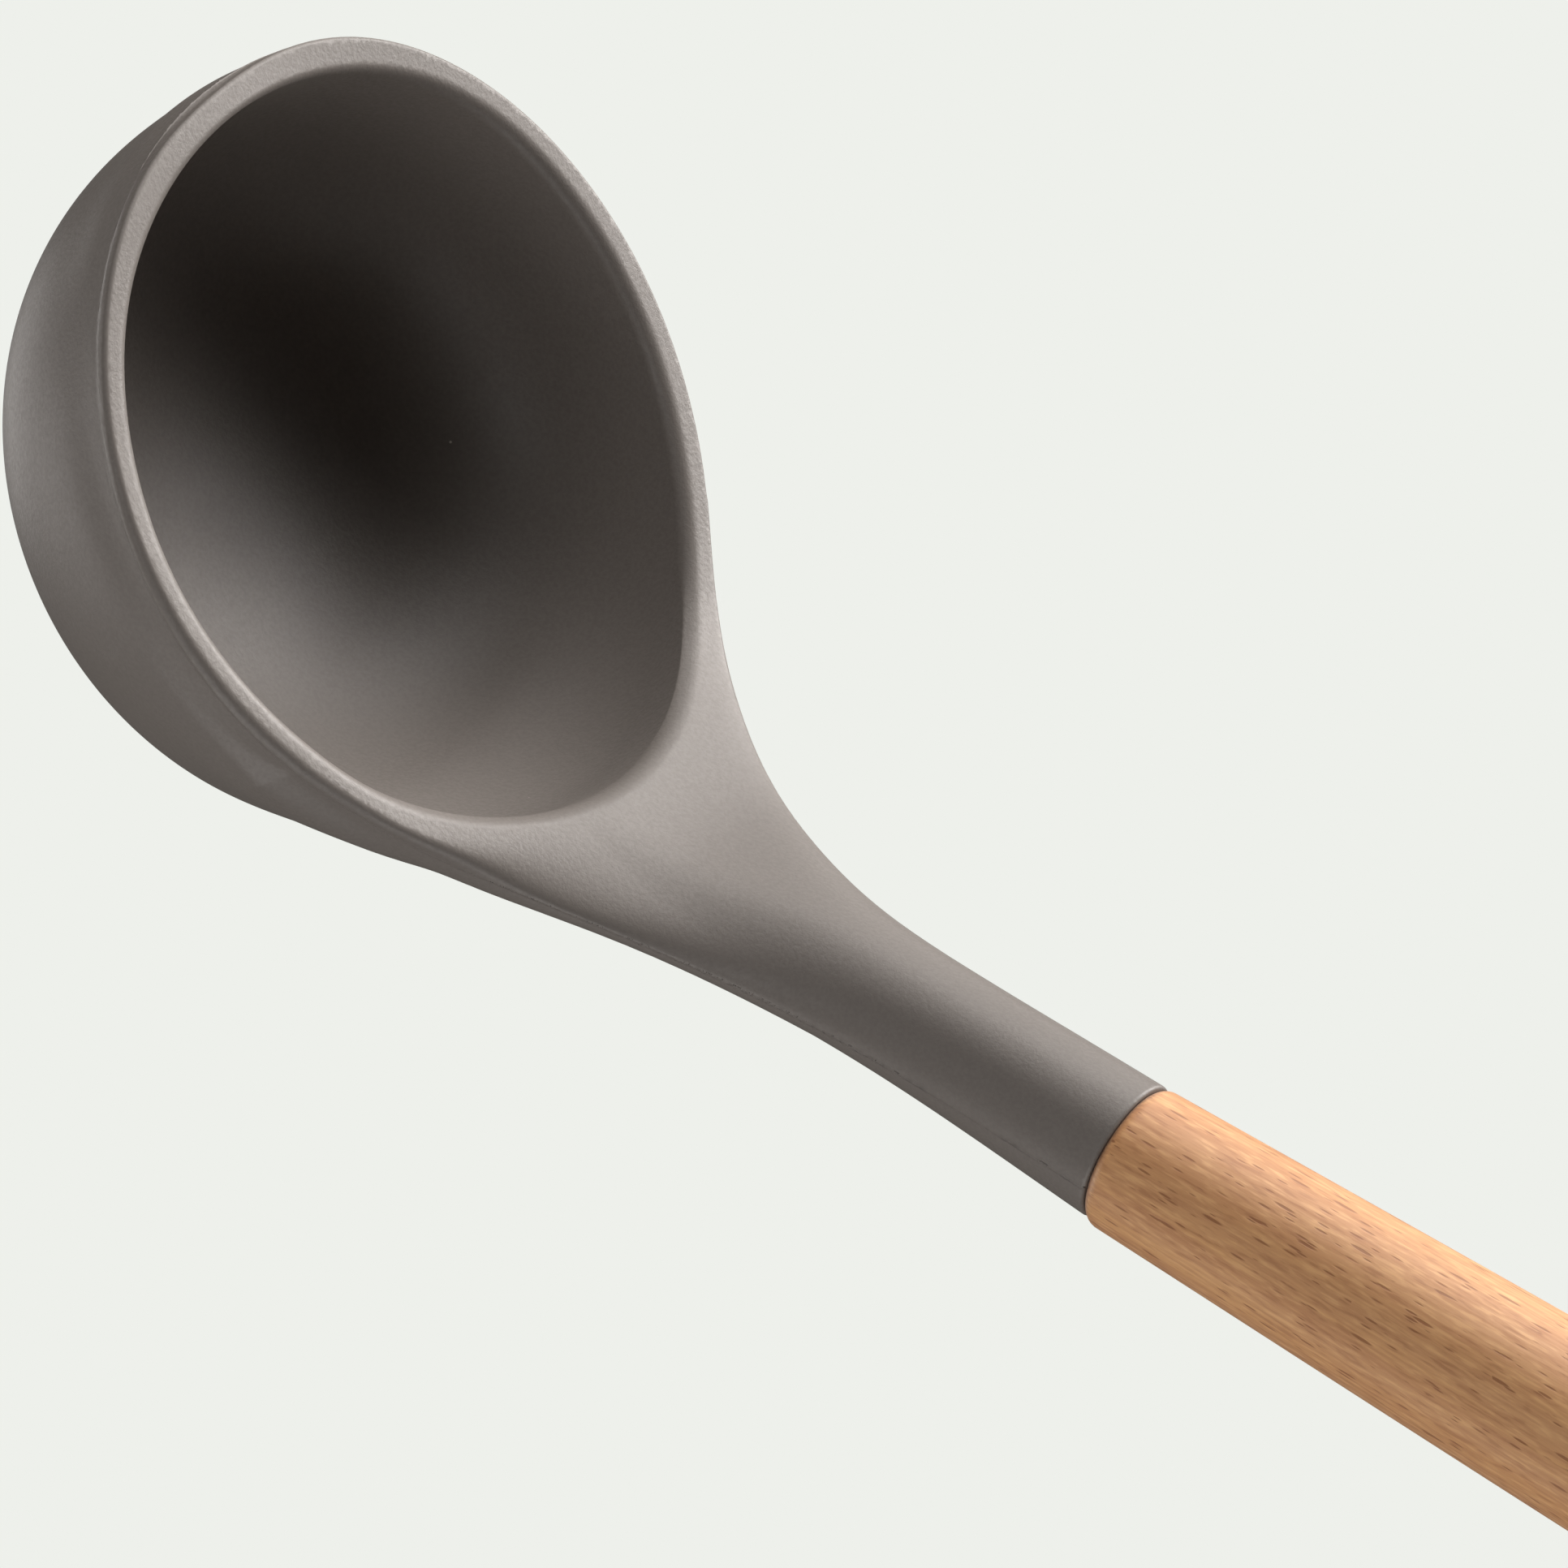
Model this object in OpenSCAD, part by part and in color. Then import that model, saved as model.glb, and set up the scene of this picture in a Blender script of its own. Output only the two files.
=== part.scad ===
// Soup ladle: a silicone head moulded over a stiff core, on a turned wooden handle.
// It lies as on a table: +Z up, the bowl's belly and the handle's belly on Z = 0,
// +X from the front lip to the handle's end, the XZ plane the plane of symmetry.
// The head is described in the bowl's own frame (z out of the opening, x towards the
// handle, z = 0 at the lowest point of the rim) and then laid down as a whole.

/* [Bowl] */
// Outer radius of the bowl at the parting line
bowl_r = 45; // [40:0.5:52]
// Depth of the outside below the parting line
bowl_depth = 39; // [34:0.5:44]
// Fullness of the bowl's section (2 is an ellipse, more is fuller)
bowl_full = 2.4; // [2:0.05:2.8]
// Thickness of the bowl's wall
wall = 3; // [2.6:0.1:4]
// Height of the rim band above the parting line
rim_band = 2.4; // [1.6:0.1:3]
// Radius of the shallow sweep of the rim, seen from the side
rim_sweep_r = 620; // [400:10:900]
// Distance of the rim's lowest point from the bowl's axis, towards the handle
rim_low_x = 26; // [20:1:32]
// Offset towards the handle of the mouth's second round, which makes the mouth egg-shaped
mouth_shift = 8.3; // [7:0.1:9.5]
// How far the inside reaches past the round bowl, towards the handle
mouth_in = 4.7; // [4:0.1:5]
// How far the outside reaches past the round bowl, towards the handle
mouth_out = 3.5; // [3.2:0.1:4]
// Depth at which the egg shape has run out into the round bowl
mouth_depth = 20; // [18:0.5:21]

/* [Neck] */
// Angle of the handle above the plane of the rim
handle_angle = 45.6; // [38:0.1:52]
// Distance of the neck's end from the bowl's axis
neck_reach = 105.3; // [96:0.1:116]
// Height of the neck's end above the rim
neck_rise = 50.2; // [42:0.1:54]
// Radius of the neck's round end
neck_end_r = 8.5; // [7.5:0.1:9.5]
// Offset of the neck's end above the handle's axis
neck_offset = 0.3; // [0:0.05:0.8]

/* [Handle] */
// Length of the wooden handle
handle_len = 165; // [130:1:200]
// Radius of the handle at the neck
handle_r = 8.7; // [8:0.1:10]
// Growth of the radius per millimetre of length, near the neck
handle_flare = 0.024; // [0.01:0.001:0.03]
// How much the radius draws in again at the rear end
handle_draw = 3.75; // [2:0.05:4.5]
// Rounding of the front edge
front_round = 1.6; // [0.5:0.1:2.5]
// Length of the domed rear end
butt_len = 7; // [4:0.5:9]
// Radius of the hanging hole
hang_r = 3.25; // [2:0.05:4]
// Distance of the hanging hole from the rear end
hang_back = 16; // [13:0.5:24]

/* [Core and joint] */
// Thickness of the core's bowl
core_t = 1.2; // [1:0.1:1.4]
// Half width of the core's bar in the neck
core_bar_w = 4.5; // [3.5:0.1:5.5]
// Radius of the tang in the handle
tang_r = 4; // [3:0.1:4.5]
// Length of the tang in the handle
tang_len = 45; // [30:1:60]
// Thickness of the glue around the tang
glue_t = 0.3; // [0.2:0.05:0.5]

/* [Hidden] */
$fn = 96;

// ---- the bowl's section ----
skin = (wall - core_t) / 2;
sec_steps = 22;
// Points of a section from the parting line's height down to the bottom
function section(r, d) = [for (i = [0:sec_steps]) let (a = 90 * i / sec_steps)
    [i == sec_steps ? 0 : r * pow(cos(a), 2 / bowl_full), -rim_band - (i == 0 ? 0 : d * pow(sin(a), 2 / bowl_full))]];
outer_sec = section(bowl_r, bowl_depth);
// Reach towards the handle at a depth below the parting line, with the egg shape added
function fade(t) = t < mouth_depth ? pow(1 - pow(t / mouth_depth, 2), 2) - 0.06 * pow(t / mouth_depth, 4) : -0.06;
function reach(r, d, e, t) = (r + e * fade(t)) * pow(1 - pow(t / d, bowl_full), 1 / bowl_full);
egg_steps = 12;
// Profile of the mouth's second round, about its own axis
function egg_sec(r, d, e) = [for (i = [0:egg_steps]) let (t = (mouth_depth + 0.5) * i / egg_steps)
    [reach(r, d, e, t) - mouth_shift, -rim_band - t]];
module second_round(r, d, e) {
    translate([mouth_shift, 0, 0]) rotate_extrude() polygon(concat(
        [[0, 10], [r + e - mouth_shift, 10]], egg_sec(r, d, e), [[0, -rim_band - mouth_depth - 0.5]]));
}

// ---- the neck's centre line: one Bezier curve in the plane of symmetry ----
ca = cos(handle_angle);
sa = sin(handle_angle);
joint = [neck_reach, neck_rise];
up2 = [-sa, ca];
p0 = [rim_low_x, -rim_band];
p1 = p0 + [25, 0];
p3 = joint + neck_offset * up2;
p2 = p3 - 58 * [ca, sa];
function line_pt(u) = pow(1 - u, 3) * p0 + 3 * pow(1 - u, 2) * u * p1 + 3 * (1 - u) * u * u * p2 + pow(u, 3) * p3;
function line_dir(u) = let (d = pow(1 - u, 2) * (p1 - p0) + 2 * (1 - u) * u * (p2 - p1) + u * u * (p3 - p2)) d / norm(d);
// Half width: a straight taper that runs out into the round end
function soft(a, c) = (a + sqrt(a * a + c * c)) / 2;
function half_w(u) = neck_end_r + soft(28 - 42 * u, 3.5) - soft(28 - 42, 3.5) * u;
// Height of the top above the parting line, and depth of the underside below it
function top_h(u) = rim_band + (neck_end_r - rim_band) * pow(sin(90 * u), 3.5);
function low_h(u) = u < 0.55 ? 4.4 + 9.5 * pow(u - 0.55, 2) : 4.4 + (neck_end_r - 4.4) * pow((u - 0.55) / 0.45, 2);
// Squareness of the section: flat and wide at the bowl, round at the end
function square_n(u) = 4 - 2 * min(1, 1.35 * u);
function spow(v, e) = sign(v) * pow(abs(v), e);

neck_rings = 26;
neck_sides = 32;
function neck_ring(u) = let (c = line_pt(u), d = line_dir(u), n = [-d[1], d[0]], e = 2 / square_n(u))
    [for (k = [0:neck_sides - 1]) let (a = 360 * k / neck_sides, s = spow(sin(a), e), h = s > 0 ? s * top_h(u) : s * low_h(u))
        [c[0] + n[0] * h, half_w(u) * spow(cos(a), e), c[1] + n[1] * h]];

// ---- the handle's turned profile ----
function grip_r(s) = handle_r + handle_flare * s - handle_draw * pow(s / handle_len, 4);
function turned_r(s) =
    s < front_round ? handle_r - front_round + sqrt(max(0, front_round * front_round - pow(front_round - s, 2)))
    : s > handle_len - butt_len ? grip_r(s) * sqrt(max(0, 1 - pow((s - handle_len + butt_len) / butt_len, 2)))
    : grip_r(s);
front_s = [for (i = [0:5]) front_round * (1 - cos(18 * i))];
grip_s = [for (i = [1:24]) front_round + (handle_len - butt_len - front_round) * i / 24];
butt_s = [for (i = [1:8]) handle_len - butt_len + butt_len * sin(11.25 * i)];
turned = [for (s = concat(front_s, grip_s, butt_s)) [s >= handle_len - 0.001 ? 0 : turned_r(s), s]];

// ---- how the ladle lies: the tilt at which bowl and handle touch the table together ----
function low_of_bowl(t) = min([for (p = outer_sec) p[1] * cos(t) - p[0] * sin(t)]);
function axis_height(t, s) = (neck_rise + s * sa) * cos(t) - (neck_reach + s * ca) * sin(t);
function low_of_handle(t) = min([for (p = turned) axis_height(t, p[1]) - p[0] * cos(handle_angle - t)]);
function lie(a, b, n) = let (m = (a + b) / 2)
    n == 0 ? m : low_of_bowl(m) < low_of_handle(m) ? lie(m, b, n - 1) : lie(a, m, n - 1);
tilt = lie(20, 70, 40);
floor_z = low_of_bowl(tilt);
front_x = min([for (p = outer_sec) p[1] * sin(tilt) - p[0] * cos(tilt)]);
rear_x = max([for (p = turned) (neck_rise + p[1] * sa) * sin(tilt) + (neck_reach + p[1] * ca) * cos(tilt)
    + p[0] * abs(sin(handle_angle - tilt))]);
mid_x = (front_x + rear_x) / 2;

// Lays the bowl's frame down on the table, with the origin under the middle
module lay() {
    translate([-mid_x, 0, -floor_z]) rotate([0, tilt, 0]) children();
}
// The handle's frame: z along the handle from the neck's end
module on_handle() {
    translate([neck_reach, 0, neck_rise]) rotate([0, 90 - handle_angle, 0]) children();
}
// A lofted solid through closed rings of equal length
module loft(rings) {
    m = len(rings[0]);
    k = len(rings);
    polyhedron(
        points = [for (r = rings) each r],
        faces = concat(
            [[for (j = [0:m - 1]) j]],
            [for (i = [0:k - 2], j = [0:m - 1], h = [0, 1]) let (a = i * m + j, b = i * m + (j + 1) % m)
                h == 0 ? [b, a, a + m] : [b, a + m, b + m]],
            [[for (j = [m - 1:-1:0]) (k - 1) * m + j]]));
}
function reversed(v) = [for (i = [len(v) - 1:-1:0]) v[i]];

// ---- the core: a thin bowl, a bar through the neck and a round tang ----
core_out = section(bowl_r - skin, bowl_depth - skin);
core_in = section(bowl_r - wall + skin, bowl_depth - wall + skin);
bar_steps = 20;
bar_u0 = 0.2;
function bar_top(u) = min(top_h(u) - 1.5, 4);
function bar_low(u) = min(low_h(u) - 1.6, 4);
function bar_side(u, h) = let (c = line_pt(u), d = line_dir(u)) c + h * [-d[1], d[0]];
// The thin bowl stops below the egg-shaped mouth: its edge is cut off along a slanting plane
edge_tilt = 10;
edge_z = -14;
module core_bowl() {
    difference() {
        rotate_extrude() polygon(concat(core_out, reversed(core_in)));
        translate([0, 0, edge_z]) rotate([0, edge_tilt, 0]) translate([-80, -80, 0]) cube([160, 160, 60]);
    }
}
// A web in the wall under the neck joins the thin bowl to the bar
web_steps = 12;
function web_pt(t, o) = [reach(bowl_r - wall / 2, bowl_depth - wall / 2, mouth_in - 0.7, max(0, t)) + o, -rim_band - t];
module core_web() {
    rotate([90, 0, 0]) linear_extrude(2 * core_bar_w - 2, center = true) polygon(concat(
        [for (i = [0:web_steps]) web_pt(-2 + 24 * i / web_steps, -0.5)],
        [for (i = [web_steps:-1:0]) web_pt(-2 + 24 * i / web_steps, 0.5)]));
}
module core_bar() {
    difference() {
        rotate([90, 0, 0]) linear_extrude(2 * core_bar_w, center = true)
            polygon(concat(
                [for (i = [0:bar_steps]) let (u = bar_u0 + (1 - bar_u0) * i / bar_steps) bar_side(u, bar_top(u))],
                [for (i = [bar_steps:-1:0]) let (u = bar_u0 + (1 - bar_u0) * i / bar_steps) bar_side(u, -bar_low(u))]));
        translate([mouth_shift, 0, -20]) cylinder(r = bowl_r - wall + mouth_in + 0.8 - mouth_shift, h = 50);
    }
}

// ---- the rim: seen from the side it sweeps down from the front lip and up into the neck ----
rim_steps = 36;
rim_u1 = 0.4;
rim_line = concat(
    [for (i = [0:rim_steps - 1]) let (x = -bowl_r - 3 + (rim_low_x + bowl_r + 3) * i / rim_steps)
        [x, rim_sweep_r - sqrt(rim_sweep_r * rim_sweep_r - pow(x - rim_low_x, 2))]],
    [for (i = [0:12]) let (u = rim_u1 * i / 12) bar_side(u, top_h(u) - 0.6 * min(1, 10 * u))]);
neck_u0 = 0.01;

module silicone_head() {
    color([0.55, 0.51, 0.48]) lay() difference() {
        union() {
            // bowl, cut off along the rim
            difference() {
                union() {
                    rotate_extrude() polygon(concat([[0, 16], [bowl_r, 16]], outer_sec));
                    second_round(bowl_r, bowl_depth, mouth_out);
                }
                rotate([90, 0, 0]) linear_extrude(4 * bowl_r, center = true)
                    polygon(concat(rim_line, [[rim_line[len(rim_line) - 1][0], 40], [-bowl_r - 3, 40]]));
            }
            // neck
            loft([for (i = [0:neck_rings]) neck_ring(neck_u0 + (1 - neck_u0) * i / neck_rings)]);
        }
        // hollow
        rotate_extrude() polygon(concat([[0, 40], [bowl_r - wall, 40]], section(bowl_r - wall, bowl_depth - wall)));
        second_round(bowl_r - wall, bowl_depth - wall, mouth_in);
        core_bowl();
        core_web();
        core_bar();
        on_handle() translate([0, 0, -6]) cylinder(r = tang_r, h = 7);
    }
}

module core_insert() {
    color([0.16, 0.15, 0.15]) lay() {
        core_bowl();
        core_web();
        core_bar();
        on_handle() translate([0, 0, -6]) cylinder(r = tang_r, h = 6 + tang_len);
    }
}

module tang_glue() {
    color([0.88, 0.84, 0.72]) lay() on_handle() difference() {
        cylinder(r = tang_r + glue_t, h = tang_len);
        translate([0, 0, -1]) cylinder(r = tang_r, h = tang_len + 2);
    }
}

module beech_handle() {
    color([0.84, 0.64, 0.43]) difference() {
        lay() on_handle() difference() {
            rotate_extrude() polygon(concat([[0, 0]], turned));
            translate([0, 0, -1]) cylinder(r = tang_r + glue_t, h = tang_len + 1);
        }
        translate([rear_x - mid_x - hang_back, 0, -5]) cylinder(r = hang_r, h = 50);
    }
}

silicone_head();
core_insert();
tang_glue();
beech_handle();
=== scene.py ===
import math
import bmesh
import bpy
import numpy as np
from mathutils import Matrix, Vector


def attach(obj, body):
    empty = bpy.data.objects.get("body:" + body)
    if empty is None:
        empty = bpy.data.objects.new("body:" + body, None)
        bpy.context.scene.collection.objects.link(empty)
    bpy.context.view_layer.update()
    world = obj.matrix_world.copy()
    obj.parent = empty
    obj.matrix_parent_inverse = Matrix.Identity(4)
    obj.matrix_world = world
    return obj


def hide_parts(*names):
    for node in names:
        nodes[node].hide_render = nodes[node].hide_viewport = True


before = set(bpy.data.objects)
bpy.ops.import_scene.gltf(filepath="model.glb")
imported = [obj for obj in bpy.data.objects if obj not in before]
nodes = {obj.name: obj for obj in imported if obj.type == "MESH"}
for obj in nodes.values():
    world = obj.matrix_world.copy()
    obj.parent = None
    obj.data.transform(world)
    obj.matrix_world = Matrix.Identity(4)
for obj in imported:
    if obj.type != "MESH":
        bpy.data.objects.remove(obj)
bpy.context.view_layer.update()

# ---------------------------------------------------------------------------
# Frames. The head is described in the bowl's own frame, in millimetres:
# z out of the opening, x towards the handle, y = 0 the plane of symmetry.
# The row frame is the ladle lying on the table, in metres.
# ---------------------------------------------------------------------------
TILT = math.radians(44.245621)
MID_X, FLOOR_Z = 114.544463, -46.215022
CT, ST = math.cos(TILT), math.sin(TILT)


def to_row(p):
    """Bowl frame, mm, to row frame, m."""
    x, y, z = p[:, 0], p[:, 1], p[:, 2]
    return np.stack([x * CT + z * ST - MID_X, y, -x * ST + z * CT - FLOOR_Z], 1) / 1000


def turn_row(v):
    x, y, z = v[:, 0], v[:, 1], v[:, 2]
    return np.stack([x * CT + z * ST, y, -x * ST + z * CT], 1)


# ---------------------------------------------------------------------------
# Small tools for implicit surfaces
# ---------------------------------------------------------------------------
def smooth_step(v):
    v = np.clip(v, 0, 1)
    return v * v * (3 - 2 * v)


def rmax(a, b, r):
    """Intersection whose edge is rounded with radius r."""
    ua, ub = np.maximum(a + r, 0), np.maximum(b + r, 0)
    return np.minimum(np.maximum(a, b), -r) + np.sqrt(ua * ua + ub * ub)


def smin(a, b, k):
    """Union with a soft fillet of about k."""
    h = np.maximum(k - np.abs(a - b), 0) / k
    return np.minimum(a, b) - h * h * h * k / 6


def sell(q, h, w, b, n):
    """Distance, to first order, to the superellipse (q/w)^n + (h/b)^n = 1."""
    A, B = np.maximum(q / w, 1e-9), np.maximum(h / b, 1e-9)
    f = (A**n + B**n) ** (1 / n)
    g = f ** (1 - n) * np.sqrt((A ** (n - 1) / w) ** 2 + (B ** (n - 1) / b) ** 2)
    return (f - 1) / np.maximum(g, 1e-6)


def spline(x, y, xs, flat=False):
    """Cubic spline through a few knots."""
    n, h = len(x), np.diff(x)
    A, r = np.zeros((n, n)), np.zeros(n)
    A[0, 0], A[0, 1], A[-1, -1], A[-1, -2] = 2, 1, 2, 1
    r[0], r[-1] = 3 * (y[1] - y[0]) / h[0], 3 * (y[-1] - y[-2]) / h[-1]
    if flat:
        A[0], A[-1] = 0, 0
        A[0, 0], A[-1, -1], r[0], r[-1] = 1, 1, 0, 0
    for i in range(1, n - 1):
        A[i, i - 1], A[i, i], A[i, i + 1] = 1 / h[i - 1], 2 * (1 / h[i - 1] + 1 / h[i]), 1 / h[i]
        r[i] = 3 * ((y[i] - y[i - 1]) / h[i - 1] ** 2 + (y[i + 1] - y[i]) / h[i] ** 2)
    m = np.linalg.solve(A, r)
    i = np.clip(np.searchsorted(x, xs) - 1, 0, n - 2)
    t = (xs - x[i]) / h[i]
    return (y[i] * (1 + 2 * t) * (1 - t) ** 2 + m[i] * h[i] * t * (1 - t) ** 2
            + y[i + 1] * t * t * (3 - 2 * t) + m[i + 1] * h[i] * t * t * (t - 1))


def grad(p, fun, e=0.02):
    g = np.empty_like(p)
    for a in range(3):
        d = np.zeros(3)
        d[a] = e
        g[:, a] = (fun(*(p + d).T) - fun(*(p - d).T)) / (2 * e)
    return g


def unit(v):
    return v / np.maximum(np.linalg.norm(v, axis=1), 1e-9)[:, None]


def project(p, fun, steps=3, limit=0.3):
    """Moves points onto the surface fun = 0."""
    for _ in range(steps):
        f, g = fun(*p.T), grad(p, fun)
        d = f[:, None] * g / np.maximum((g * g).sum(1), 0.05)[:, None]
        n = np.linalg.norm(d, axis=1)
        p = p - d * np.minimum(1, limit / np.maximum(n, 1e-9))[:, None]
    return p


def surface_nets(fun, lo, hi, h):
    """Quad mesh of fun = 0 on a grid of spacing h; only blocks near the surface are evaluated finely."""
    lo = np.array(lo, float)
    n = (np.ceil((np.array(hi) - lo) / (4 * h)).astype(int)) * 4 + 1
    V = np.ones(n, np.float32)
    m = (n - 1) // 4
    ax = [lo[a] + 4 * h * (np.arange(m[a]) + 0.5) for a in range(3)]
    X, Y, Z = np.meshgrid(*ax, indexing="ij")
    C = fun(X, Y, Z)
    near = np.abs(C) < 4 * h * 0.87 * 2.6 + 1.5
    for a in range(3):
        C, near = np.repeat(C, 4, a), np.repeat(near, 4, a)
    pad = [(0, 1)] * 3
    C, near = np.pad(C, pad, mode="edge"), np.pad(near, pad, mode="edge")
    for a in range(3):
        near = near | np.roll(near, 1, a)
    V[:] = np.where(C < 0, -1, 1)
    idx = np.argwhere(near)
    for k in range(0, len(idx), 400000):
        i = idx[k:k + 400000]
        V[tuple(i.T)] = fun(*(lo + h * i).T)
    inside = V < 0
    cnt = np.zeros(n - 1, np.uint8)
    off = [(a, b, c) for a in (0, 1) for b in (0, 1) for c in (0, 1)]
    for a, b, c in off:
        cnt += inside[a:n[0] - 1 + a, b:n[1] - 1 + b, c:n[2] - 1 + c]
    mixed = (cnt > 0) & (cnt < 8)
    idx = np.argwhere(mixed)
    cid = np.full(n - 1, -1, np.int64)
    cid[mixed] = np.arange(len(idx))
    S, N = np.zeros((len(idx), 3)), np.zeros(len(idx))
    for a in range(8):
        for b in range(a + 1, 8):
            oa, ob = np.array(off[a]), np.array(off[b])
            if np.abs(oa - ob).sum() != 1:
                continue
            va, vb = V[tuple((idx + oa).T)].astype(float), V[tuple((idx + ob).T)].astype(float)
            k = (va < 0) != (vb < 0)
            t = va[k] / (va[k] - vb[k])
            S[k] += idx[k] + oa + t[:, None] * (ob - oa)
            N[k] += 1
    pos = lo + h * S / N[:, None]
    quads = []
    for a in range(3):
        b, c = (a + 1) % 3, (a + 2) % 3
        s0, s1 = [slice(1, -1)] * 3, [slice(1, -1)] * 3
        s0[a], s1[a] = slice(0, -1), slice(1, None)
        A, B = inside[tuple(s0)], inside[tuple(s1)]
        e = np.argwhere(A != B)
        ins = A[tuple(e.T)]
        g = e + 1
        g[:, a] -= 1
        db, dc = np.zeros(3, int), np.zeros(3, int)
        db[b], dc[c] = 1, 1
        q = np.stack([cid[tuple((g - db - dc).T)], cid[tuple((g - dc).T)], cid[tuple(g.T)], cid[tuple((g - db).T)]], 1)
        q[~ins] = q[~ins][:, ::-1]
        quads.append(q)
    return pos, np.concatenate(quads)


def relax(pos, q, fun, steps=4, lam=0.5):
    """Evens out the quads along the surface."""
    for _ in range(steps):
        S, N = np.zeros_like(pos), np.zeros(len(pos))
        for a in range(4):
            i, j = q[:, a], q[:, (a + 1) % 4]
            for c in range(3):
                S[:, c] += np.bincount(i, pos[j, c], len(pos)) + np.bincount(j, pos[i, c], len(pos))
            N += np.bincount(i, minlength=len(pos)) + np.bincount(j, minlength=len(pos))
        d = S / N[:, None] - pos
        g = unit(grad(pos, fun))
        d -= (d * g).sum(1)[:, None] * g
        pos = project(pos + lam * d, fun, 1)
    return pos


def build(name, fun, fine, lo, hi, h, place, turn, band=None, passes=3):
    """Meshes fun, refines it where it bends sharply or where band says so, lands it on fine, and makes the object."""
    pos, q = surface_nets(fun, lo, hi, h)
    pos = relax(project(pos, fun, 2), q, fun)
    pos = project(pos, fun, 2)
    bm = bmesh.new()
    vs = [bm.verts.new(p) for p in pos]
    for f in q.tolist():
        bm.faces.new([vs[i] for i in f])
    for k in range(passes):
        bm.verts.index_update()
        bm.verts.ensure_lookup_table()
        P = np.array([v.co for v in bm.verts])
        n = unit(grad(P, fun))
        E = np.array([[e.verts[0].index, e.verts[1].index] for e in bm.edges])
        length = np.linalg.norm(P[E[:, 0]] - P[E[:, 1]], axis=1)
        bend = (n[E[:, 0]] * n[E[:, 1]]).sum(1) < math.cos(math.radians(16))
        pick = bend & (length > 0.16)
        if band is not None:
            w = band(P, n)
            pick |= (np.minimum(w[E[:, 0]], w[E[:, 1]]) < 0.7 / 2**k + 0.12) & (length > 0.13)
        bm.edges.ensure_lookup_table()
        old = len(bm.verts)
        bmesh.ops.subdivide_edges(bm, edges=[bm.edges[i] for i in np.nonzero(pick)[0]], cuts=1, use_grid_fill=True, use_single_edge=True)
        P = np.array([v.co for v in bm.verts])
        P[old:] = project(P[old:], fun, 3, 0.15)
        for v, c in zip(bm.verts, P):
            v.co = c
    bmesh.ops.triangulate(bm, faces=[f for f in bm.faces if len(f.verts) > 4])
    P = project(np.array([v.co for v in bm.verts]), fine, 4, 0.15)
    n = unit(grad(P, fine, 0.012))
    R, nr = place(P), turn(n)
    for v, c in zip(bm.verts, R):
        v.co = c
    me = bpy.data.meshes.new(name)
    bm.to_mesh(me)
    bm.free()
    me.shade_smooth()
    me.normals_split_custom_set_from_vertices(nr)
    ob = bpy.data.objects.new(name, me)
    bpy.context.scene.collection.objects.link(ob)
    return ob


# ---------------------------------------------------------------------------
# The silicone head
# ---------------------------------------------------------------------------
BAND, LOW_X, SWEEP = 2.46, 25.9, 1.62          # rim band, lowest point of the rim, rise of the rim at the front
DEPTH, FULL = 39.2, 2.407                      # the bowl's outside below the parting line
RISE = math.radians(45.58)                     # the handle above the rim's plane
AXIS = np.array([math.cos(RISE), math.sin(RISE)])
UPWARD = np.array([-math.sin(RISE), math.cos(RISE)])
Q0 = np.array([LOW_X, -BAND])
Q1 = Q0 + [25.1, 0]
JOINT = np.array([105.28, 50.25])              # where the neck meets the handle's axis
SEAM = 0.45                                     # the seam lies this far before it
Q3 = JOINT + 0.30 * UPWARD
Q2 = Q3 - 58.0 * AXIS
KNOTS = np.linspace(0, 1, 7)
HALF_W = np.array([37.2, 30.2, 22.6, 15.75, 10.65, 8.35, 8.46])
TOP_H = np.array([2.16, 2.12, 3.10, 4.00, 6.65, 8.00, 8.46])
NEAR_N = np.array([6.0, 6.0, 2.8, 1.7, 1.62, 1.95, 2.0])   # squareness of the neck's upper half, on either side
FAR_N = np.array([6.0, 6.0, 7.0, 4.7, 2.45, 2.25, 2.0])
LOW_H = np.array([9.9, 6.6, 5.15, 3.9, 4.6, 6.0, 8.46])
FILLET = 8.6                                    # where the neck's underside runs into the bowl
NU = 2001
U = np.linspace(0, 1, NU)
_u = U[:, None]
LINE = (1 - _u) ** 3 * Q0 + 3 * (1 - _u) ** 2 * _u * Q1 + 3 * (1 - _u) * _u**2 * Q2 + _u**3 * Q3
DIRN = (1 - _u) ** 2 * (Q1 - Q0) + 2 * (1 - _u) * _u * (Q2 - Q1) + _u**2 * (Q3 - Q2)
DIRN /= np.linalg.norm(DIRN, axis=1)[:, None]
W_U = spline(KNOTS, HALF_W, U)
T_U = spline(KNOTS, TOP_H, U, True)
B_U = spline(KNOTS, LOW_H, U)
NN_U, NF_U = [np.maximum(spline(KNOTS, k, U), 1.2) for k in (NEAR_N, FAR_N)]
R_U = 0.55 + 2.4 * smooth_step(U / 0.8)
N_U = 4.7 - 2.7 * np.clip(1.35 * U, 0, 1)
# Nearest place on the neck's line, over the plane of symmetry
GX, GZ, GD = np.arange(10.0, 126.0, 0.5), np.arange(-50.0, 80.0, 0.5), 0.5


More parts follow.
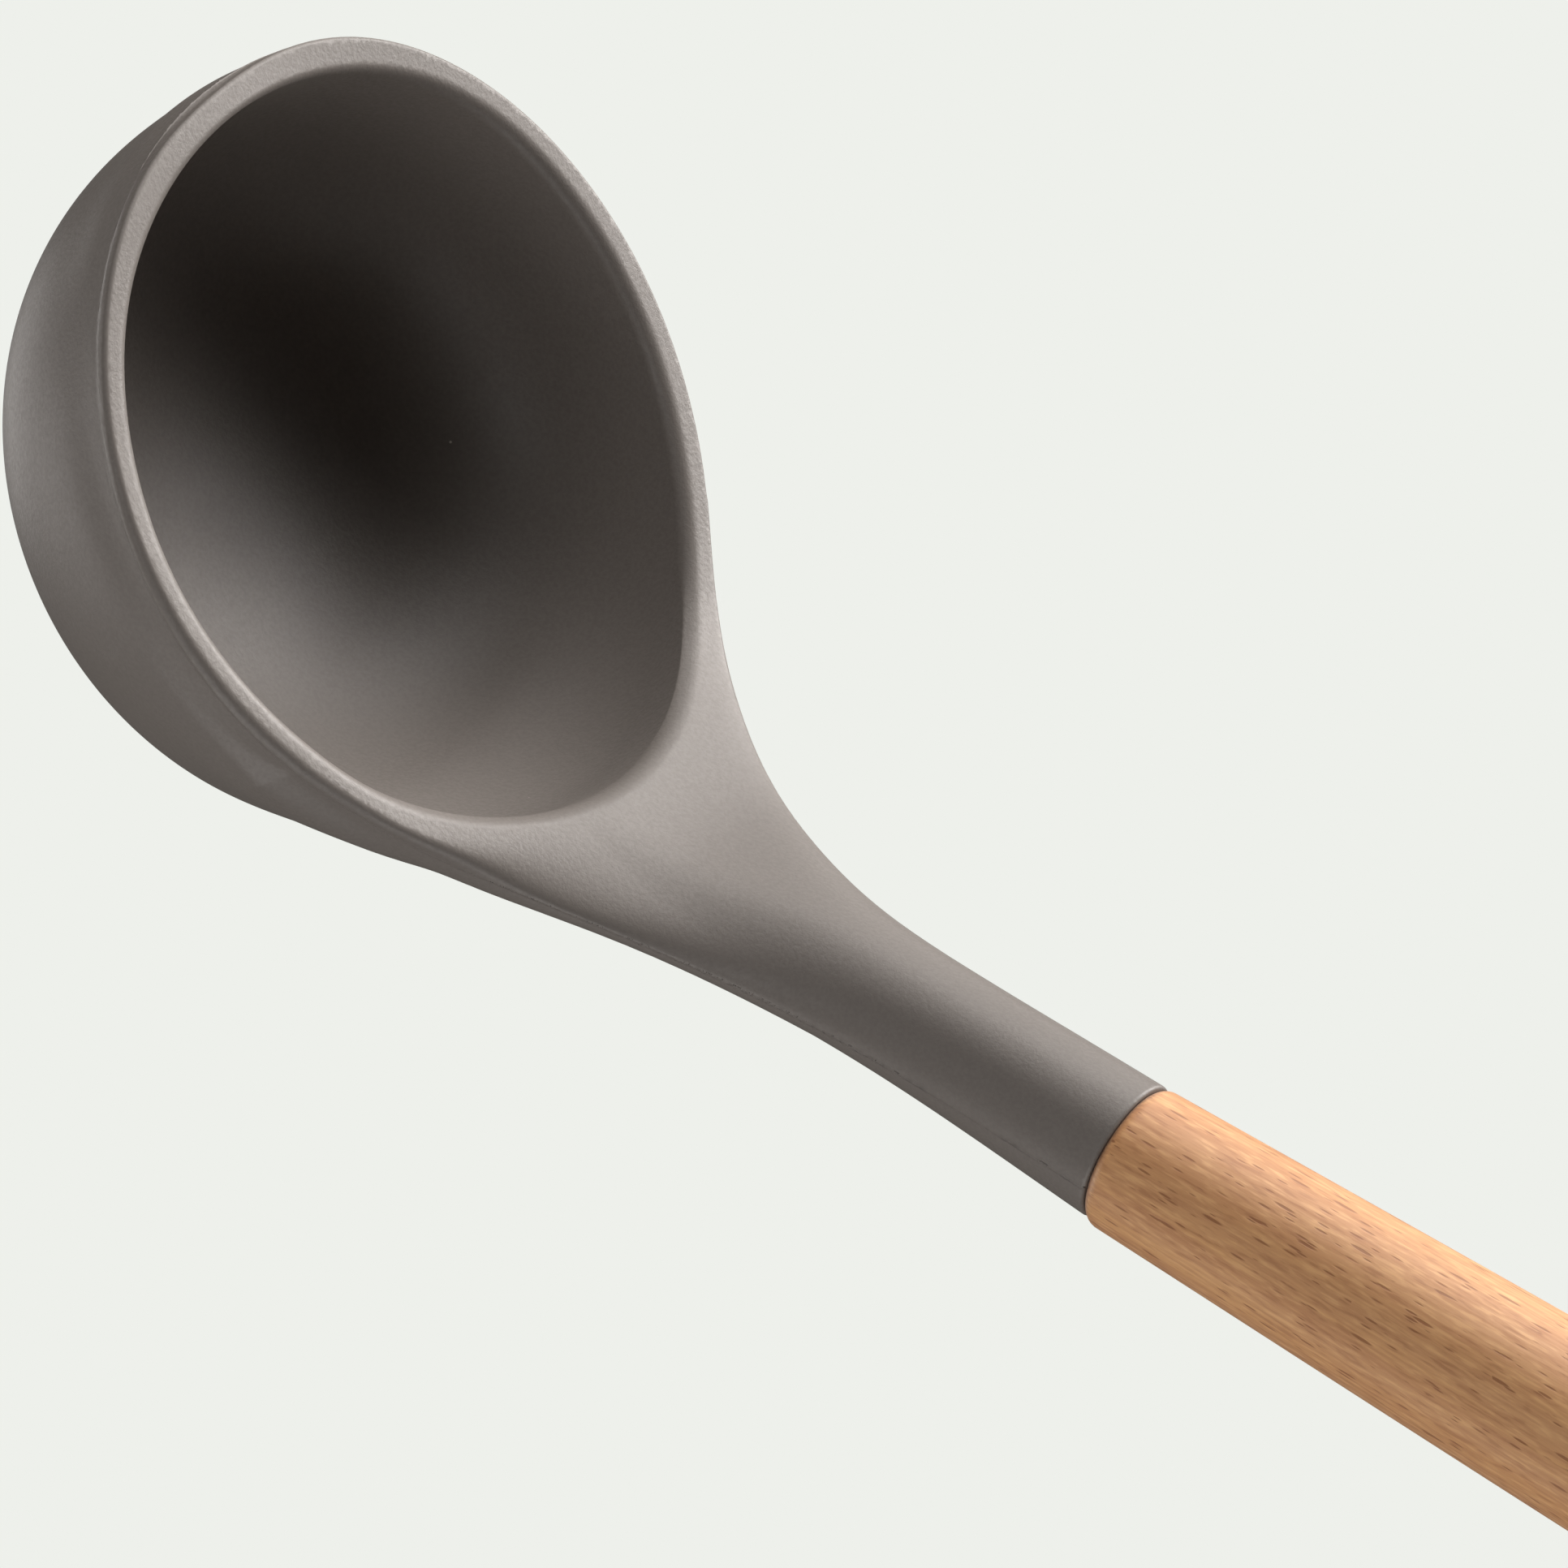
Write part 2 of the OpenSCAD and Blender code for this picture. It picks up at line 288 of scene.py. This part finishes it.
def nearest_table():
    X, Z = np.meshgrid(GX, GZ, indexing="ij")
    best, at = np.full(X.shape, 1e9), np.zeros(X.shape)
    for k in range(0, NU, 8):
        d = (X - LINE[k, 0]) ** 2 + (Z - LINE[k, 1]) ** 2
        m = d < best
        best[m], at[m] = d[m], k
    for _ in range(5):
        k = np.clip(np.round(at).astype(int), 0, NU - 1)
        c, t = LINE[k], DIRN[k]
        ds = (X - c[..., 0]) * t[..., 0] + (Z - c[..., 1]) * t[..., 1]
        a, b = np.minimum(k + 1, NU - 1), np.maximum(k - 1, 0)
        step = np.maximum(np.hypot(*np.moveaxis(LINE[a] - LINE[b], -1, 0)) / np.maximum(a - b, 1), 1e-3)
        at = np.clip(k + np.clip(ds / step, -12, 12), 0, NU - 1)
    return at / (NU - 1)


NEAR = nearest_table()


def near_u(x, z):
    a = np.clip((x - GX[0]) / GD, 0, len(GX) - 1.001)
    b = np.clip((z - GZ[0]) / GD, 0, len(GZ) - 1.001)
    i, j = a.astype(int), b.astype(int)
    s, t = a - i, b - j
    return (NEAR[i, j] * (1 - s) + NEAR[i + 1, j] * s) * (1 - t) + (NEAR[i, j + 1] * (1 - s) + NEAR[i + 1, j + 1] * s) * t


def along(tab, u):
    a = np.clip(u * (NU - 1), 0, NU - 1.001)
    i = a.astype(int)
    return tab[i] * (1 - (a - i)) + tab[i + 1] * (a - i)


# The mouth is egg-shaped: it reaches further towards the neck
_p = np.linspace(0, np.pi, 361)
_r = 43.06 + 1.36 * np.cos(2 * _p) + 0.68 * np.cos(3 * _p)
MOUTH_A = np.arctan2(_r * np.sin(_p), 2.0 + _r * np.cos(_p))
MOUTH_R = np.hypot(_r * np.sin(_p), 2.0 + _r * np.cos(_p)) - 0.52 + 0.33 * np.cos(2 * MOUTH_A)
MOUTH_R -= 0.15 + 0.3 * np.exp(-(((MOUTH_A - 1.95) / 0.35) ** 2)) + 0.25 * np.exp(-(((MOUTH_A - 0.95) / 0.3) ** 2))


def parting_height(x, z):
    """Height above the parting line, and the neck's sizes there."""
    u = near_u(x, z)
    h = -(x - along(LINE[:, 0], u)) * along(DIRN[:, 1], u) + (z - along(LINE[:, 1], u)) * along(DIRN[:, 0], u)
    return np.where(x < LOW_X, z + BAND - SWEEP * ((x - LOW_X) / 45) ** 2, h), u


def head_parts(x, y, z):
    h, u = parting_height(x, z)
    q = np.abs(y)
    w, b = along(W_U, u), along(B_U, u)
    neck = np.where(h >= 0, q - w, sell(q, np.maximum(-h, 0), w, b, along(N_U, u)))
    neck = np.maximum(neck, 12 - x)
    rho, phi, deep = np.hypot(x, y), np.arctan2(y, x), np.maximum(-BAND - z, 0)
    egg = np.clip(1 - (deep / 20.0) ** 2, 0, 1) ** 2
    flash = np.exp(-((deep / 4.0) ** 2))
    front = np.maximum(-np.cos(phi), 0) ** 16
    round_r = (45 + (0.65 * np.cos(2 * phi) - 0.11 * np.cos(3 * phi) - 0.45 * front) * flash + 0.3 * np.cos(phi) * (1 - flash)
               + 3.2 * np.maximum(np.cos(phi), 0) ** 3 * egg)
    bowl = sell(rho, deep, round_r, DEPTH, FULL)
    outside = smin(bowl, neck, 1.2 + FILLET * smooth_step((-h - 0.5) / 5))
    y0 = y + 0.35 * egg                                # the mouth sits a little to one side
    phi0 = np.abs(np.arctan2(y0, x))
    hollow = sell(np.hypot(x, y0), deep, 42 + (np.interp(phi0, MOUTH_A, MOUTH_R) - 42) * egg, DEPTH - 3.0, FULL)
    lip = 1.8 - 0.95 * smooth_step((phi0 - 2.1) / (np.pi - 2.1))
    s = (x - JOINT[0]) * AXIS[0] + (z - JOINT[1]) * AXIS[1] + SEAM
    up = (x - JOINT[0]) * UPWARD[0] + (z - JOINT[1]) * UPWARD[1]
    wood = rmax(np.hypot(y, up) - 8.7, -s, 1.6)        # the end fits over the handle's rounded front
    end = s - 0.08 - 0.024 * up
    swell = 0.15 + 0.35 * np.maximum(-np.sin(phi + 0.55), 0) ** 3 - 0.7 * np.maximum(np.cos(phi + 2.967), 0) ** 24
    belly = np.maximum(-np.sin(phi - 0.5), 0) ** 3      # the side that carries the rounder rim
    tip = 0.068 * np.exp(9.9 * (np.cos(phi + 1.72) - 1)) - 0.088 * np.exp(12.5 * (np.cos(phi + 2.88) - 1))
    lean = tip * np.clip(outside, -4, 0) * (1 - smooth_step(u / 0.15))     # the rim's top tips a little in or out
    return outside, h, u, y, hollow, lip, end, swell + 0.5 * belly, along(R_U, u) + 0.8 * belly, lean, 0.04 - wood


def head_close(outside, h, u, y, hollow, lip, end, swell, edge, lean, clear):
    """The rim is a bead that swells a little above the parting line; on the neck it melts into an oval section."""
    top = along(T_U, u)
    bead = swell * (1 - (1 - np.clip(h / 1.1, 0, 1)) ** 2) * (1 - smooth_step((u - 0.15) / 0.4))
    flat = rmax(outside - bead, h - top - lean, edge)
    side = smooth_step(0.5 + y / 20.0)
    square = along(NN_U, u) * (1 - side) + along(NF_U, u) * side
    oval = np.where(h >= 0, sell(np.abs(y), np.maximum(h, 0), along(W_U, u), top, square), outside)
    f = flat + (oval - flat) * smooth_step((u - 0.06) / 0.3)
    f = rmax(f, -hollow, lip)
    return np.maximum(rmax(f, end, 0.45), clear)


def head(x, y, z):
    return head_close(*head_parts(x, y, z))


def head_fine(x, y, z):
    """The head with the mould's parting line, a fine ridge of uneven height."""
    outside, h, u, *rest = head_parts(x, y, z)
    way = x + 0.6 * z
    rough = 1 + 0.35 * np.sin(way * 0.9 + 1.3 * np.sin(way * 0.23)) * np.sin(way * 2.1 + np.sign(y))
    neck = smooth_step((u - 0.3) / 0.4)
    ridge = (0.13 + neck * np.where(y < 0, 0.30, 0.17)) * rough * np.exp(-((h / (0.10 + 0.11 * neck)) ** 2))
    ridge += 0.06 * neck * np.exp(-((h / 0.5) ** 2)) * (h < 0)
    return head_close(outside - ridge, h, u, *rest)


def parting_band(P, n):
    outside, h = head_parts(*P.T)[:2]
    return np.where(np.abs(outside) < 0.35, np.abs(h), 9.0)


head_ob = build("silicone_head_skin", head, head_fine, (-49.2, -48.8, -44.2), (113.5, 48.8, 63.5), 0.62, to_row, turn_row, parting_band)

# ---------------------------------------------------------------------------
# The turned handle, described in the row frame in millimetres
# ---------------------------------------------------------------------------
J = np.array([-4.0859, 0.0, 8.7045])
HA = np.array([0.99972063, 0.0, 0.02363617])
H_LEN, HANG_X = 165.0, 144.868


def handle(x, y, z):
    dx, dz = x - J[0], z - J[2]
    s = dx * HA[0] + dz * HA[2]
    rho = np.hypot(y, -dx * HA[2] + dz * HA[0])
    r = 8.7 + 0.024 * s - 3.75 * np.maximum(s / H_LEN, 0) ** 4
    side = np.where(s > H_LEN - 7, sell(rho, np.maximum(s - H_LEN + 7, 0), np.maximum(r, 1), 7.0, 2.0), rho - r)
    f = rmax(side, -s - SEAM, 1.6)
    f = rmax(f, 3.25 - np.hypot(x - HANG_X, y), 1.1)
    bore = np.maximum(rho - 4.3, s - 45)
    return rmax(f, -bore, 0.2)


handle_ob = build("turned_handle", handle, handle, (-7.0, -12.6, -2.6), (164.0, 12.6, 27.0), 0.62, lambda p: p / 1000, lambda n: n, None, 2)

# ---------------------------------------------------------------------------
# Materials
# ---------------------------------------------------------------------------
def lin(r, g, b):
    """Display colour, 0 to 255, as scene-linear."""
    f = lambda c: c / 12.92 if c <= 0.04045 else ((c + 0.055) / 1.055) ** 2.4
    return (f(r / 255), f(g / 255), f(b / 255), 1.0)


class Nodes:
    """A short way to write a node tree."""

    def __init__(self, name):
        self.mat = bpy.data.materials.new(name)
        self.mat.use_nodes = True
        self.t = self.mat.node_tree
        self.t.nodes.clear()
        self.out = self.t.nodes.new("ShaderNodeOutputMaterial")

    def new(self, kind, **kw):
        n = self.t.nodes.new(kind)
        for k, v in kw.items():
            setattr(n, k, v)
        return n

    def put(self, socket, value):
        if isinstance(value, bpy.types.NodeSocket):
            self.t.links.new(value, socket)
        else:
            socket.default_value = value

    def coords(self):
        return self.new("ShaderNodeTexCoord").outputs["Object"]

    def mapping(self, vec, rot=(0, 0, 0), scale=(1, 1, 1), loc=(0, 0, 0)):
        n = self.new("ShaderNodeMapping")
        self.put(n.inputs["Vector"], vec)
        n.inputs["Rotation"].default_value, n.inputs["Scale"].default_value, n.inputs["Location"].default_value = rot, scale, loc
        return n.outputs[0]

    def noise(self, vec, scale, detail=2.0, rough=0.5, distort=0.0):
        n = self.new("ShaderNodeTexNoise")
        self.put(n.inputs["Vector"], vec)
        for k, v in (("Scale", scale), ("Detail", detail), ("Roughness", rough), ("Distortion", distort)):
            n.inputs[k].default_value = v
        return n.outputs["Fac"]

    def voronoi(self, vec, scale, feature="F1", rand=1.0):
        n = self.new("ShaderNodeTexVoronoi", feature=feature)
        self.put(n.inputs["Vector"], vec)
        n.inputs["Scale"].default_value, n.inputs["Randomness"].default_value = scale, rand
        return n

    def math(self, op, a, b=0.0, c=None, clamp=False):
        n = self.new("ShaderNodeMath", operation=op, use_clamp=clamp)
        self.put(n.inputs[0], a)
        self.put(n.inputs[1], b)
        if c is not None:
            self.put(n.inputs[2], c)
        return n.outputs[0]

    def span(self, v, a, b, c=0.0, d=1.0, smooth=True):
        n = self.new("ShaderNodeMapRange", interpolation_type="SMOOTHSTEP" if smooth else "LINEAR")
        for k, x in enumerate((v, a, b, c, d)):
            self.put(n.inputs[k], x)
        return n.outputs[0]

    def ramp(self, fac, stops):
        n = self.new("ShaderNodeValToRGB")
        e = n.color_ramp.elements
        while len(e) < len(stops):
            e.new(0.5)
        for k, (p, c) in zip(e, stops):
            k.position, k.color = p, c
        self.put(n.inputs[0], fac)
        return n.outputs[0]

    def mix(self, fac, a, b, blend="MIX"):
        n = self.new("ShaderNodeMix", data_type="RGBA", blend_type=blend)
        self.put(n.inputs[0], fac)
        self.put(n.inputs[6], a)
        self.put(n.inputs[7], b)
        return n.outputs[2]

    def bump(self, height, strength, dist, normal=None):
        n = self.new("ShaderNodeBump")
        n.inputs["Strength"].default_value, n.inputs["Distance"].default_value = strength, dist
        self.put(n.inputs["Height"], height)
        if normal is not None:
            self.put(n.inputs["Normal"], normal)
        return n.outputs[0]

    def shader(self, **kw):
        n = self.new("ShaderNodeBsdfPrincipled")
        for k, v in kw.items():
            self.put(n.inputs[k.replace("_", " ")], v)
        self.t.links.new(n.outputs[0], self.out.inputs[0])
        return n


def silicone():
    """Satin silicone: the fine etched grain of the mould, and a few pale specks."""
    m = Nodes("satin_silicone")
    v = m.coords()
    broad = m.noise(v, 22, 2, 0.5)
    grain = m.noise(v, 1900, 3, 0.62)
    base = m.ramp(broad, [(0.3, lin(108, 103, 99)), (0.7, lin(112, 107, 103))])
    base = m.mix(m.span(grain, 0.3, 0.7, 0.0, 0.28), base, lin(88, 83, 79))
    cell = m.voronoi(v, 170)
    keep = m.math("GREATER_THAN", m.new_x(cell.outputs["Color"]), 0.86)
    speck = m.math("MULTIPLY", m.span(cell.outputs["Distance"], 0.016, 0.036, 1.0, 0.0), keep)
    base = m.mix(m.math("MULTIPLY", speck, 0.75), base, lin(200, 194, 186))
    rough = m.span(grain, 0.25, 0.75, 0.41, 0.50)
    n1 = m.bump(grain, 0.7, 0.00006)
    m.shader(Base_Color=base, Roughness=rough, Normal=n1, IOR=1.43)
    return m.mat


def beech():
    """Oiled beech: fine fibres along the handle, short dark rays, a worn front edge."""
    m = Nodes("beech")
    axis = m.mapping(m.coords(), rot=(0, 0.02364, 0), loc=(0.003879, 0, 0))
    v = m.mapping(axis, rot=(0.55, 0, 0))
    bands = m.noise(m.mapping(v, scale=(7, 170, 170)), 1.0, 3, 0.55, 0.4)
    fibre = m.noise(m.mapping(v, scale=(45, 2000, 2000)), 1.0, 3, 0.6)
    dash = m.noise(m.mapping(v, scale=(260, 1900, 1900)), 1.0, 2, 0.55)
    base = m.ramp(bands, [(0.30, lin(182, 129, 82)), (0.50, lin(194, 143, 95)), (0.70, lin(205, 156, 105))])
    base = m.mix(m.span(fibre, 0.35, 0.68, 0.0, 0.38), base, lin(159, 103, 63))
    base = m.mix(m.span(dash, 0.50, 0.70, 0.0, 0.44), base, lin(227, 179, 125))
    base = m.mix(m.span(dash, 0.46, 0.31, 0.0, 0.44), base, lin(149, 94, 54))
    rays = []
    for scale, loc, lo, size in (((190, 1500, 1500), 0.0, 0.18, 0.38), ((290, 2100, 2100), 0.37, 0.28, 0.35)):
        ray = m.voronoi(m.mapping(v, scale=scale, loc=(loc, loc, loc)), 1.0)
        pick = m.span(m.new_x(ray.outputs["Color"]), lo, 1.0, 0.0, size, False)
        rays.append(m.span(m.math("SUBTRACT", pick, ray.outputs["Distance"]), 0.0, 0.14, 0.0, 1.0))
    fleck = m.math("MAXIMUM", rays[0], rays[1])
    base = m.mix(m.math("MULTIPLY", fleck, 0.78), base, lin(132, 77, 37))
    worn = m.span(m.new_x(axis), -0.00005, 0.00065, 1.0, 0.0)
    base = m.mix(m.math("MULTIPLY", worn, 0.55), base, lin(138, 88, 54))
    rough = m.span(fibre, 0.3, 0.7, 0.40, 0.54)
    height = m.math("SUBTRACT", fibre, fleck)
    m.shader(Base_Color=base, Roughness=rough, Normal=m.bump(height, 0.35, 0.00005), IOR=1.55, Sheen_Weight=0.19, Sheen_Roughness=0.5)
    return m.mat


def nylon():
    m = Nodes("glass_filled_nylon")
    v = m.coords()
    g = m.noise(v, 1900, 3, 0.6)
    base = m.ramp(g, [(0.3, lin(40, 39, 40)), (0.7, lin(56, 54, 54))])
    m.shader(Base_Color=base, Roughness=m.span(g, 0.3, 0.7, 0.42, 0.58), Normal=m.bump(g, 0.3, 0.00005))
    return m.mat


def glue():
    m = Nodes("clear_glue")
    v = m.coords()
    g = m.noise(v, 700, 2, 0.5)
    base = m.ramp(g, [(0.3, lin(214, 203, 168)), (0.7, lin(231, 222, 192))])
    m.shader(Base_Color=base, Roughness=m.span(g, 0.3, 0.7, 0.2, 0.34), Normal=m.bump(g, 0.25, 0.0001))
    return m.mat


def new_x(self, color):
    """First channel of a colour or a vector."""
    n = self.new("ShaderNodeSeparateXYZ")
    self.put(n.inputs[0], color)
    return n.outputs[0]


Nodes.new_x = new_x

head_ob.data.materials.append(silicone())
handle_ob.data.materials.append(beech())
for node, make in (("core_insert", nylon), ("tang_glue", glue)):
    nodes[node].data.materials.clear()
    nodes[node].data.materials.append(make())
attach(head_ob, "root")
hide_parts("silicone_head")
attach(handle_ob, "root")
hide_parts("beech_handle")

# ---------------------------------------------------------------------------
# Camera: the photograph's viewing angle, with the long lens that its perspective shows
# ---------------------------------------------------------------------------
RIGHT = np.array([0.44510537, 0.58759016, 0.67573591])
DOWN = np.array([0.87929546, -0.42960070, -0.20562764])
AHEAD = np.array([0.16947184, 0.68569748, -0.70788294])
SHIFT = np.array([-42.358531, -40.725922, 731.269112])
eye = -(SHIFT[0] * RIGHT + SHIFT[1] * DOWN + SHIFT[2] * AHEAD)
cam_data = bpy.data.cameras.new("camera")
cam_data.sensor_width, cam_data.lens = 36.0, 36.0 * 7876.0153 / 1932
cam_data.clip_start, cam_data.clip_end = 0.02, 50.0
cam = bpy.data.objects.new("camera", cam_data)
axes = turn_row(np.array([RIGHT, -DOWN, -AHEAD]))
pose = Matrix.Identity(4)
for k in range(3):
    for i in range(3):
        pose[i][k] = float(axes[k][i])
pose.translation = Vector(to_row(eye[None])[0])
cam.matrix_world = pose
bpy.context.scene.collection.objects.link(cam)
bpy.context.scene.camera = cam

# ---------------------------------------------------------------------------
# Stage: a plain pale floor and soft light
# ---------------------------------------------------------------------------
def stage_mesh(name, verts, faces, mat):
    me = bpy.data.meshes.new(name)
    me.from_pydata(verts, [], faces)
    me.materials.append(mat)
    ob = bpy.data.objects.new(name, me)
    bpy.context.scene.collection.objects.link(ob)
    return ob


pale = Nodes("pale_floor")
em = pale.new("ShaderNodeEmission")
em.inputs["Color"].default_value, em.inputs["Strength"].default_value = lin(238, 240, 235), 1.0
pale.t.links.new(em.outputs[0], pale.out.inputs[0])
rings = [(0.0, 0.0)] + [(6 * math.sin(a), 6 * (1 - math.cos(a))) for a in np.linspace(0.05, math.pi / 2, 14)]
verts, faces, seg = [(0, 0, -0.0004)], [], 48
for r, z in rings[1:]:
    verts += [(r * math.cos(2 * math.pi * k / seg), r * math.sin(2 * math.pi * k / seg), z - 0.0004 if r > 0.35 else -0.0004) for k in range(seg)]
faces = [(0, 1 + k, 1 + (k + 1) % seg) for k in range(seg)]
for i in range(len(rings) - 2):
    a = 1 + i * seg
    faces += [(a + k, a + seg + k, a + seg + (k + 1) % seg, a + (k + 1) % seg) for k in range(seg)]
floor = stage_mesh("floor", verts, faces, pale.mat)
floor.visible_diffuse = floor.visible_glossy = floor.visible_shadow = floor.visible_transmission = False


def soft_sun(name, toward, strength, angle=26.0):
    """A broad, even light from direction toward."""
    d = bpy.data.lights.new(name, "SUN")
    d.energy, d.angle, d.color = strength * math.pi, math.radians(angle), (1.0, 0.965, 0.935)
    o = bpy.data.objects.new(name, d)
    v = Vector(toward).normalized()
    o.location = v * 2.0
    o.rotation_mode = "QUATERNION"
    o.rotation_quaternion = v.to_track_quat("Z", "Y")
    bpy.context.scene.collection.objects.link(o)


LIGHTS = [((0.37, 0.91, 0.21), 0.657), ((-0.03, 0.75, 0.66), 0.356), ((0.30, 0.75, 0.60), 0.297), ((0.41, 0.71, 0.57), 0.267),
          ((-0.12, 0.45, 0.89), 0.252), ((0.05, -0.81, -0.59), 0.201), ((0.50, -0.70, -0.50), 0.186), ((0.84, -0.34, -0.42), 0.161),
          ((0.15, 0.89, 0.43), 0.151), ((0.42, 0.62, 0.66), 0.149), ((0.00, -0.93, 0.37), 0.143), ((0.18, 0.57, 0.80), 0.135),
          ((-0.17, 0.15, 0.97), 0.128), ((-0.86, -0.32, -0.40), 0.126), ((0.04, 1.00, 0.07), 0.115), ((-0.38, 0.54, 0.75), 0.115),
          ((-0.38, -0.07, 0.92), 0.11), ((-0.85, 0.18, -0.49), 0.104), ((-0.65, 0.45, 0.61), 0.104), ((0.46, -0.87, -0.14), 0.103),
          ((-0.64, -0.55, -0.54), 0.096), ((-0.50, 0.85, 0.16), 0.08), ((-0.83, -0.54, -0.17), 0.043), ((-0.23, -0.44, 0.87), 0.03)]
for k, (toward, strength) in enumerate(LIGHTS):
    soft_sun("soft_%02d" % k, toward, strength)
world = bpy.data.worlds.new("dim_room")
world.use_nodes = True
world.node_tree.nodes["Background"].inputs["Color"].default_value = (1, 1, 1, 1)
world.node_tree.nodes["Background"].inputs["Strength"].default_value = 0.0
bpy.context.scene.world = world
view = bpy.context.scene.view_settings
view.view_transform, view.look, view.exposure, view.gamma = "Standard", "None", 0.0, 1.0
